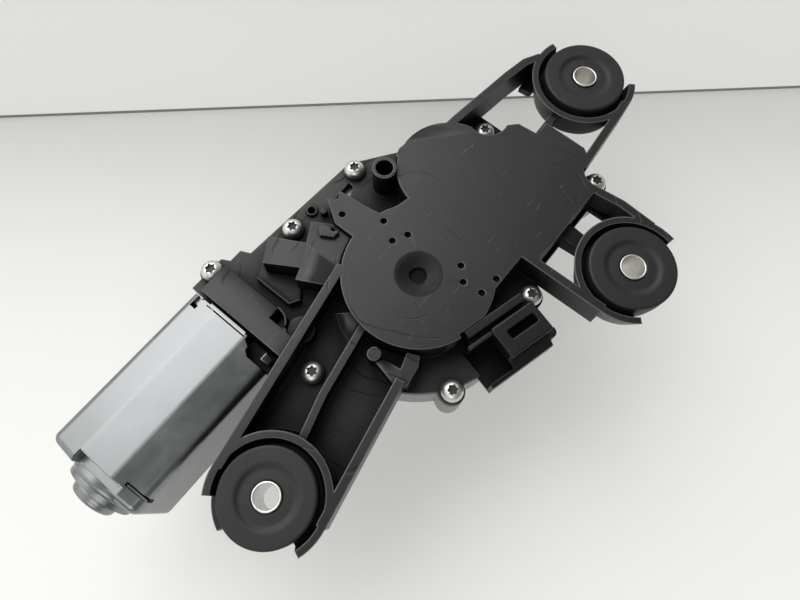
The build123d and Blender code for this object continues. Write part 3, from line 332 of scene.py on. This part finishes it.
def rounded(corners, radius, steps=4):
    """Plan or profile corners (a, b) with each corner turned into a small arc."""
    # an arc takes up less than half of a side, so that two never meet
    side_share = 0.45
    path = []
    for index, corner in enumerate(corners):
        here = Vector(corner)
        before, after = Vector(corners[index - 1]), Vector(corners[(index + 1) % len(corners)])
        back = (before - here).normalized() * min(radius, (before - here).length * side_share)
        on = (after - here).normalized() * min(radius, (after - here).length * side_share)
        for step in range(steps + 1):
            share = step / steps
            path.append(here + back * (1 - share) ** 2 + on * share ** 2)
    return path


def pulled(reach):
    """Pull the outline being edited out into a solid by a step in metres, its faces turned outwards."""
    bpy.ops.mesh.extrude_region_move(TRANSFORM_OT_translate={"value": reach})
    bpy.ops.mesh.select_all(action="SELECT")
    bpy.ops.mesh.normals_make_consistent(inside=False)


def turned(name, profile, steps=64):
    """Ring, or solid where the profile starts on the axis, from corners (radius, height) spun round +Z."""
    solid = profile[0][0] == 0
    piece = drawn(name, [(radius, 0, height) for radius, height in profile], closed=not solid)
    if not solid:
        bpy.ops.mesh.delete(type="ONLY_FACE")
    bpy.ops.mesh.select_all(action="SELECT")
    bpy.ops.mesh.spin(steps=steps, angle=2 * math.pi, center=(0, 0, 0), axis=(0, 0, 1))
    bpy.ops.mesh.select_all(action="SELECT")
    bpy.ops.mesh.remove_doubles(threshold=weld)
    bpy.ops.mesh.normals_make_consistent(inside=False)
    bpy.ops.object.mode_set(mode="OBJECT")
    return piece


def block(name, outline, low, high, edge=0.4):
    """Upright block on a plan outline, its top edges rounded."""
    piece = drawn(name, [(x, y, low) for x, y in outline])
    pulled((0, 0, (high - low) * MM))
    choose(piece, "EDGE", lambda rim: all(abs(end.co.z - high * MM) < hair for end in rim.verts))
    bpy.ops.mesh.bevel(offset=edge * MM, segments=3, affect="EDGES", clamp_overlap=True)
    bpy.ops.object.mode_set(mode="OBJECT")
    return piece


def oblong(x_low, x_high, y_low, y_high):
    """Plan outline of a rectangle."""
    return [(x_low, y_low), (x_high, y_low), (x_high, y_high), (x_low, y_high)]


def ribbon(points, width):
    """Plan outline of a rib of one width along a line of points."""
    sides = ([], [])
    for index, point in enumerate(points):
        before, after = points[max(index - 1, 0)], points[min(index + 1, len(points) - 1)]
        run = (Vector(after) - Vector(before)).normalized()
        across = Vector((-run.y, run.x)) * width / 2
        sides[0].append(Vector(point) + across)
        sides[1].append(Vector(point) - across)
    return sides[0] + sides[1][::-1]


def arc(centre, radius, from_angle, to_angle, steps=14):
    """Points of a plan arc, angles in degrees."""
    turns = [math.radians(from_angle + (to_angle - from_angle) * step / steps) for step in range(steps + 1)]
    return [(centre[0] + radius * math.cos(turn), centre[1] + radius * math.sin(turn)) for turn in turns]


def circle(centre, radius, corners=24):
    """Plan outline of a round piece."""
    return arc(centre, radius, 0, 360 - 360 / corners, corners - 1)


def carried(node, name):
    """Welded copy of a CAD node's mesh, to be worked on further."""
    piece = bpy.data.objects.new(name, nodes[node].data.copy())
    bpy.context.scene.collection.objects.link(piece)
    pick(piece)
    bpy.ops.object.mode_set(mode="EDIT")
    bpy.ops.mesh.select_all(action="SELECT")
    bpy.ops.mesh.remove_doubles(threshold=weld)
    bpy.ops.mesh.dissolve_limited(angle_limit=flat_turn)
    bpy.ops.object.mode_set(mode="OBJECT")
    return piece


def cut(piece, cutter):
    """Take the cutter's shape out of the piece and throw the cutter away."""
    pick(piece)
    saw = piece.modifiers.new("cut", "BOOLEAN")
    saw.operation = "DIFFERENCE"
    saw.object = cutter
    bpy.ops.object.modifier_apply(modifier=saw.name)
    bpy.data.objects.remove(cutter)


def placed(piece, place, turn=(0, 0, 0)):
    """Turn and move a piece, and write that into its mesh."""
    pick(piece)
    piece.rotation_euler = turn
    piece.location = Vector(place) * MM
    bpy.ops.object.transform_apply(location=True, rotation=True, scale=True)
    return piece


def copied(piece, name):
    """Second object with a mesh of its own."""
    twin = bpy.data.objects.new(name, piece.data.copy())
    bpy.context.scene.collection.objects.link(twin)
    return twin


def joined(pieces, name):
    """Several pieces made one object."""
    pick(pieces[0])
    for other in pieces[1:]:
        other.select_set(True)
    bpy.ops.object.join()
    bpy.context.object.name = name
    return bpy.context.object


def settled(piece, body, slot, *replaced):
    """Give a finished piece its material, smooth shading and body, and hide the CAD nodes it stands for."""
    pick(piece)
    piece.data.materials.clear()
    piece.data.materials.append(finish[slot])
    bpy.ops.object.shade_smooth_by_angle(angle=crease)
    even = piece.modifiers.new("even", "WEIGHTED_NORMAL")
    even.keep_sharp = True
    bpy.ops.object.modifier_apply(modifier=even.name)
    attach(piece, body)
    if replaced:
        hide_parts(*replaced)


def middle(node):
    """Centre of a node's box, in millimetres."""
    low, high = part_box(node)
    return (Vector(low) + Vector(high)) / 2 / MM


# ---- grommets: moulded rubber with a rolled outer edge and a shallow dish
foot_z, seat_low, seat_top, grommet_top = 66, 72.0, 76.0, 84.0
grommet_bore_r, neck_r, foot_r, grommet_r = 5.42, 12, 16, 18
dish_rim_r, dish_floor_r, dish_depth, bore_rim_drop = 11.6, 10.2, 0.9, 0.6
grommet = turned("grommet_form", rounded([
    (grommet_bore_r, foot_z), (15.4, foot_z), (foot_r, 67.2), (foot_r, seat_low), (neck_r, seat_low),
    (neck_r, seat_top), (grommet_r, seat_top), (grommet_r, grommet_top), (dish_rim_r, grommet_top),
    (dish_floor_r, grommet_top - dish_depth), (grommet_bore_r, grommet_top - bore_rim_drop),
], 1.1))
# ---- sleeves: rolled steel tube with a collar at its foot, its mouth slightly battered
sleeve_low, sleeve_top = 64.9, 84.15
sleeve_bore_r, sleeve_r, collar_r = 4.6, 5.4, 8
sleeve = turned("sleeve_form", rounded([
    (sleeve_bore_r, sleeve_low), (collar_r, sleeve_low), (collar_r, foot_z), (sleeve_r, foot_z),
    (sleeve_r, sleeve_top), (sleeve_bore_r, sleeve_top),
], 0.3), 48)
dent = bpy.data.textures.new("sleeve_dents", "CLOUDS")
dent.noise_scale = 3 * MM
batter = sleeve.modifiers.new("batter", "DISPLACE")
batter.texture = dent
batter.strength = 0.25 * MM
batter.mid_level = 0.5
pick(sleeve)
bpy.ops.object.modifier_apply(modifier=batter.name)
for index in (1, 2, 3):
    centre = middle(f"grommet_{index}")
    for form, node in ((grommet, f"grommet_{index}"), (sleeve, f"grommet_sleeve_{index}")):
        twin = placed(copied(form, node + "_moulded"), (centre.x, centre.y, 0))
        settled(twin, "motor_body", slot_of[node], node)
bpy.data.objects.remove(grommet)
bpy.data.objects.remove(sleeve)

# ---- cover screws: domed washer head with a six-lobed recess, on a plain shank
shank_low, head_low, head_high = 56.5, 70.5, 73.7
shank_tip_r, shank_r, head_r = 1.6, 2, 4.6
screw = turned("screw_form", [
    (0, shank_low), (shank_tip_r, shank_low), (shank_r, shank_low + 0.6), (shank_r, head_low),
    (head_r - 0.2, head_low), (head_r, head_low + 0.25), (4.55, head_low + 0.75), (4.15, head_low + 1.7),
    (3.6, head_low + 2.4), (2.9, head_low + 2.85), (2.3, head_high), (0, head_high),
], 48)
recess_r, lobes, lobe_depth, recess_depth, cutter_length = 2.0, 6, 0.32, 1.9, 3
lobed_outline = []
for turn in range(0, 360, 10):
    radius = recess_r + lobe_depth * math.cos(math.radians(turn * lobes))
    x, y = radius * math.cos(math.radians(turn)), radius * math.sin(math.radians(turn))
    lobed_outline.append((x, y, head_high - recess_depth))
recess = drawn("screw_recess", lobed_outline)
pulled((0, 0, cutter_length * MM))
bpy.ops.object.mode_set(mode="OBJECT")
cut(screw, recess)
screw_places = [
    (-50.5, 70.0), (-14.5, 57.0), (24.5, 55.5), (77.5, 22.5),
    (88.0, -31.5), (26.0, -40.0), (-26.6, -39.0), (-56.0, 8.5),
]
turn_between_screws = 23
screws = [
    placed(copied(screw, "screw"), (x, y, 0), (0, 0, math.radians(index * turn_between_screws)))
    for index, (x, y) in enumerate(screw_places)
]
bpy.data.objects.remove(screw)
settled(joined(screws, "cover_screws_headed"), "motor_body", "screw_steel", "cover_screws")
# a dark plate in each recess stands for the shade at its bottom, painted in, and for its dirt
plate_r, plate_low, plate_high = 1.9, head_high - 1.95, head_high - 1.2
recess_shade_plates = [block("recess_shade_plate", circle(place, plate_r), plate_low, plate_high, 0.05)
                 for place in screw_places]
settled(joined(recess_shade_plates, "cover_screw_recess_painted_shade"), "motor_body", "clip_steel")

# ---- motor can: drawn pot with its locking notches, lanced slot and stepped rear end
motor_y, motor_z = 44.25, 57.5
tilt = math.radians(15.4)
above_can, sharp = 82, 0.01
can = carried("motor_can", "motor_can_drawn")
near_notch = [
    (-68.2, 18), (-61.5, 18), (-61.5, 35.6), (-63.6, 35.6), (-65.2, 33.0), (-66.8, 32.6), (-68.2, 30.6),
]
far_notch = oblong(-67.2, -61.5, 60.2, 63.6)
mouth_slot = oblong(-63.4, -62.8, 36.4, 57.4)
lanced_slot = oblong(-130.3, -128.7, 20, 31.4)
end_notch = oblong(-139, -131.3, 31, 53)
for outline, low in (
    (near_notch, 66), (far_notch, 70), (mouth_slot, 77.5), (lanced_slot, 70), (end_notch, 71.5),
):
    cut(can, block("can_cutter", outline, low, above_can, sharp))
settled(can, "motor_body", "can_steel", "motor_can")
# the bearing boss is spun round +Z, then laid along the motor's axis
boss_low, boss_step_low, boss_step_high, boss_high = 131.6, 140.2, 141.4, 147.6
boss_r, cup_r, cup_end_r, boss_round, boss_steps = 15.6, 10.2, 9.4, 1.8, 5
boss_profile = rounded([
    (0, boss_low), (boss_r, boss_low), (boss_r, boss_step_low),
    (cup_r, boss_step_high), (cup_end_r, boss_high), (0, boss_high),
], boss_round, boss_steps)
# the two corners on the axis stay sharp, so their arcs are left out
boss_side = boss_profile[boss_steps + 1:-boss_steps - 1]
boss = turned("can_end_boss", [(0, boss_low), *boss_side, (0, boss_high)])
settled(placed(boss, (0, motor_y, motor_z), (0, -math.pi / 2, 0)), "motor_body", "can_steel")
cheek_t = 1.0
cheek_outline = [(-136.6, 70), (-136.6, 75.8), (-134.8, 77.9), (-131.0, 78.3), (-131.0, 70)]
for name, y in (("can_end_cheek_far", 53.7), ("can_end_cheek_near", 31.5)):
    cheek = drawn(name, [(x, y, z) for x, z in cheek_outline])
    pulled((0, -cheek_t * MM, 0))
    bpy.ops.object.mode_set(mode="OBJECT")
    settled(cheek, "motor_body", "can_steel")
for name, outline, high in (
    ("can_end_step", oblong(-136.4, -131.5, 31.3, 52.7), 73.2),
    ("can_end_face", oblong(-131.9, -131.0, 30.6, 53.4), 79.2),
    ("can_mouth_lip", oblong(-62.7, -61.2, 37.4, 56.4), 78.8),
):
    settled(block(name, outline, 70, high, 0.3), "motor_body", "can_steel")
for name, outline in (
    ("brush_cover_near", oblong(-68.0, -61.2, 20.4, 35.4)),
    ("brush_cover_far", oblong(-68.2, -61.2, 59.6, 64.0)),
):
    settled(block(name, outline, 62, 71.5), "motor_body", "connector_plastic")
# lugs and tab are drawn flat about their own middle, then leant with the facet that they stand on
lug_outline = oblong(-65.6, -62.2, -2.1, 2.1)
for name, y, lean in (("can_lug_far", 61.9, -tilt), ("can_lug_near", 24.4, 2.4 * tilt)):
    lug = block(name, lug_outline, -4, 0, 0.5)
    settled(placed(lug, (0, y, 75.9), (lean, 0, 0)), "motor_body", "can_steel")
tab = block("can_lanced_tab", oblong(-130.1, -129.3, -4.6, 4.6), -1.5, 0, 0.15)
settled(placed(tab, (0, 26.4, 76.9), (tilt, 0, 0)), "motor_body", "can_steel")

# ---- cover: ejector marks, deep recesses beside the cap and the spout, and the dimple's core
cover = carried("mounting_cover", "mounting_cover_moulded")
mark_places = [
    (5, 48.6), (0.5, 40.9), (-6.5, 39.4), (9.1, 25.7), (4.5, 17.2), (10.6, 14.1),
    (13.6, -11.1), (8.6, -16.1), (9.6, -24.5), (18.2, -25.5),
]
duct_mark = mark_places[2]
mark_r, mark_floor, cutter_top = 1.45, 79.6, 88.0
pocket_floor, loop_floor, core_floor = 65.5, 66.8, 78.5
cap_recess = [(-46.6, 34.9), (-47.3, 32), (-49.2, 29.2), (-51, 28.2), (-51, 34.9)]
spout_slot = [(12.9, 53.7), (18.6, 53.9), (18.2, 51.2), (13.9, 49.3)]
loop_place = (-2.6, 57)
recesses = [(circle(place, mark_r), mark_floor) for place in mark_places] + [
    (cap_recess, pocket_floor),
    (spout_slot, pocket_floor),
    (circle(loop_place, 1.7), loop_floor),
    (circle((0, 0), 3.5, 36), core_floor),
]
for outline, low in recesses:
    cut(cover, block("recess_cutter", outline, low, cutter_top, sharp))
settled(cover, "motor_body", "cover_plastic", "mounting_cover")

# ---- cover: forms that stand on the flange beside the duct, the cap and the first arm
flange_top = 69.0
first_bolt, cap_corner = (-100.4, -11.8), (-52.6, 34.4)
duct_shelf = [
    (-18.4, 44.4), (-9.5, 49.6), (-4.7, 42.2), (-4.7, 31.85), (-9, 30.9), (-13.4, 29.3), (-17.6, 27),
]
duct_tab = [(-8.4, 44.3), (-10.4, 44.2), (-12.5, 41.8), (-9.5, 36.8), (-6.5, 36.7), (-6.1, 39.8)]
trough_floor = [(-40.9, 53), (-33, 57), (-36, 52), (-28.5, 39), (-36.5, 32.6), (-40.8, 35)]
trough_rib = ribbon([(-40.9, 52.4), (-40.8, 34.6), (-36.6, 32.4)], 1.3)
cover_forms = (
    ("duct_shelf", duct_shelf, flange_top, 80.0),
    ("duct_tab", duct_tab, 79.5, 81.9),
    ("cable_trough_floor", trough_floor, 68.6, 70.6),
    ("cable_trough_rib", trough_rib, flange_top, 73.0),
    ("cap_pocket_wall", ribbon(arc(cap_corner, 7.0, 12, -62), 1.0), flange_top, 76.8),
    ("cap_round_boss", circle((-46.2, 22.6), 5.6, 36), flange_top, 75.2),
    ("arm_bead_near", ribbon(arc(first_bolt, 25.4, 48, 15), 1.2), flange_top - 0.2, 70.6),
    ("arm_bead_far", ribbon(arc(first_bolt, 23.4, 5, -38), 1.2), flange_top - 0.2, 70.6),
    ("flange_peg", circle((0, 52.1), 1.6, 18), flange_top, 72.2),
    ("flange_loop", ribbon(arc(loop_place, 2.1, 0, 360, 20), 0.9), flange_top - 0.2, 70.4),
)
for name, outline, low, high in cover_forms:
    form = block(name, outline, low, high, 0.35)
    if name in ("duct_shelf", "duct_tab"):
        cut(form, block("mark_cutter", circle(duct_mark, mark_r), mark_floor, cutter_top, sharp))
    settled(form, "motor_body", "cover_plastic")

# ---- connector: the roof slopes from the bridge down to the outer wall
plug_place, plug_turn = (2.7, -46.7, 0), math.radians(-15.4)
plug = carried("connector_socket", "connector_socket_moulded")
slope_start, slope_length = -25, 50
slope_section = [(-4.9, 75.05), (-9.6, 72.1), (-12, 72.1), (-12, 78), (-4.9, 78)]
slope = drawn("slope_cutter", [(slope_start, y, z) for y, z in slope_section])
pulled((slope_length * MM, 0, 0))
bpy.ops.object.mode_set(mode="OBJECT")
cut(plug, placed(slope, plug_place, (0, 0, plug_turn)))
settled(plug, "motor_body", "connector_plastic", "connector_socket")
for name, outline, low, high, edge in (
    ("socket_ear", circle((16.1, -4.4), 2.5), 66, 74.2, 0.8),
    ("latch_floor", oblong(-5, 14.5, -0.5, 6.5), 71.6, 73.4, 0.1),
):
    form = block(name, outline, low, high, edge)
    settled(placed(form, plug_place, (0, 0, plug_turn)), "motor_body", "connector_plastic")

# ---- worm: rolled thread of one start round its core, its middle over the wheel's axle
worm_x, worm_lead, thread_turns = 46.5, math.pi, 3
thread_root_r, thread_crest_r, root_half, crest_half = 3.4, 5.3, 1.2, 0.45
thread = drawn("worm_thread", [
    (thread_root_r, 0, -root_half), (thread_crest_r, 0, -crest_half),
    (thread_crest_r, 0, crest_half), (thread_root_r, 0, root_half),
])
bpy.ops.mesh.delete(type="ONLY_FACE")
bpy.ops.object.mode_set(mode="OBJECT")
helix = thread.modifiers.new("helix", "SCREW")
helix.axis = "Z"
helix.angle = 2 * math.pi
helix.screw_offset = worm_lead * MM
helix.iterations = thread_turns
helix.steps = helix.render_steps = 32
pick(thread)
bpy.ops.object.modifier_apply(modifier=helix.name)
bpy.ops.object.mode_set(mode="EDIT")
bpy.ops.mesh.select_all(action="SELECT")
bpy.ops.mesh.remove_doubles(threshold=weld)
bpy.ops.mesh.fill_holes(sides=0)
bpy.ops.mesh.normals_make_consistent(inside=False)
bpy.ops.object.mode_set(mode="OBJECT")
placed(thread, (0, 0, -thread_turns / 2 * worm_lead))
placed(thread, (worm_x, motor_y, motor_z), (0, math.pi / 2, 0))
settled(thread, "armature", "worm_steel")


# ---- floor, wall, light and camera; lengths in metres
floor_z = -14 * MM


def backdrop(name, corners, colour, even):
    """Flat four-cornered sheet of painted board; a share of what shows of it is even in tone."""
    mesh = bpy.data.meshes.new(name)
    mesh.from_pydata(corners, [], [(0, 1, 2, 3)])
    sheet = bpy.data.objects.new(name, mesh)
    bpy.context.scene.collection.objects.link(sheet)
    # emulsion paint: chalky, with hardly any sheen at a low angle
    material, tree, shader, _ = new_material(name + "_paint")
    shader.inputs["Base Color"].default_value = linear(colour)
    shader.inputs["Roughness"].default_value = 0.7
    shader.inputs["Specular IOR Level"].default_value = 0.2
    glow = add_node(tree, "ShaderNodeEmission", {"Color": linear(colour)})
    ray = add_node(tree, "ShaderNodeLightPath")
    shown = add_node(tree, "ShaderNodeMath", {"operation": "MAXIMUM"},
                     {0: ray.outputs["Is Camera Ray"], 1: ray.outputs["Is Glossy Ray"]})
    share = add_node(tree, "ShaderNodeMath", {"operation": "MULTIPLY", 1: even}, {0: shown.outputs["Value"]})
    seen = add_node(tree, "ShaderNodeMixShader", {},
                    {0: share.outputs["Value"], 1: shader.outputs["BSDF"], 2: glow.outputs["Emission"]})
    tree.links.new(seen.outputs["Shader"], tree.nodes["Material Output"].inputs["Surface"])
    mesh.materials.append(material)


camera_place = Vector((-75.17, -47.62, 306.16)) * MM
camera_right = Vector((0.63217, -0.77469, 0.01444))
camera_up = Vector((0.72968, 0.60150, 0.32521))
camera_ahead = Vector((0.26062, 0.19505, -0.94553))
view_w, view_h, focal_px, sensor_mm = 800, 600, 600, 36


def on_floor(column, row):
    """Floor point that shows at a column and row of the camera's view."""
    ray = camera_ahead * focal_px + camera_right * (column - view_w / 2) - camera_up * (row - view_h / 2)
    return camera_place + ray * ((floor_z - camera_place.z) / ray.z)


# the seam between floor and wall crosses the view's left and right edges at these rows
seam_left_row, seam_right_row = 118, 88
side_reach, floor_reach, gap_w, gap_h, wall_h = 3, 4, 0.001, 0.0025, 0.16
seam_a, seam_b = on_floor(0, seam_left_row), on_floor(view_w, seam_right_row)
along = (seam_b - seam_a).normalized()
inward = Vector((-along.y, along.x, 0))
if inward.dot(camera_place - seam_a) < 0:
    inward = -inward
far_a, far_b = seam_a - along * side_reach, seam_b + along * side_reach
floor_corners = [far_a - inward * gap_w, far_b - inward * gap_w,
                 far_b + inward * floor_reach, far_a + inward * floor_reach]
backdrop("floor", floor_corners, "#f3f3f0", 0.25)
gap_top = Vector((0, 0, gap_h))
# the grey strip along the seam is painted shade of the gap between floor and wall
backdrop("seam_shade", [far_a, far_b, far_b + gap_top, far_a + gap_top], "#7a7a78", 0.7)
wall_top = Vector((0, 0, wall_h))
backdrop("wall", [far_a + gap_top, far_b + gap_top, far_b + wall_top, far_a + wall_top], "#e9e9e7", 0.7)

camera = bpy.data.objects.new("camera", bpy.data.cameras.new("camera"))
bpy.context.scene.collection.objects.link(camera)
camera.matrix_world = Matrix((
    (camera_right.x, camera_up.x, -camera_ahead.x, camera_place.x),
    (camera_right.y, camera_up.y, -camera_ahead.y, camera_place.y),
    (camera_right.z, camera_up.z, -camera_ahead.z, camera_place.z),
    (0, 0, 0, 1),
))
camera.data.sensor_width = sensor_mm
camera.data.lens = sensor_mm * focal_px / view_w
camera.data.clip_start = 0.01
bpy.context.scene.camera = camera


def softbox(name, place, aim, size, power):
    """Square soft light aimed at a point."""
    lamp = bpy.data.lights.new(name, "AREA")
    lamp.shape = "SQUARE"
    lamp.size = size
    lamp.energy = power
    light = bpy.data.objects.new(name, lamp)
    bpy.context.scene.collection.objects.link(light)
    light.location = place
    light.rotation_euler = (Vector(aim) - Vector(place)).to_track_quat("-Z", "Y").to_euler()


gearbox = (0, 0, 0.05)
softbox("key_light", place=(0.15, 0.7, 0.9), aim=gearbox, size=1.1, power=8.0)
softbox("fill_light", place=(-0.9, -0.5, 0.9), aim=gearbox, size=0.8, power=4.0)
# the room is bright beyond the far side and dark on the near side
near_level, far_level, dark_until, bright_from = 0.27, 1.35, -0.2, 0.45
world = bpy.data.worlds.new("studio")
bpy.context.scene.world = world
world.use_nodes = True
air = world.node_tree
heading = add_node(air, "ShaderNodeTexCoord").outputs["Generated"]
lie = add_node(air, "ShaderNodeSeparateXYZ", {}, {"Vector": heading})
level = add_node(air, "ShaderNodeMapRange", {
    "interpolation_type": "SMOOTHSTEP", "From Min": dark_until, "From Max": bright_from,
    "To Min": near_level, "To Max": far_level,
}, {"Value": lie.outputs["Y"]})
background = air.nodes["Background"]
background.inputs["Color"].default_value = linear("#f6f5f2")
air.links.new(level.outputs["Result"], background.inputs["Strength"])
bpy.context.scene.view_settings.view_transform = "Standard"
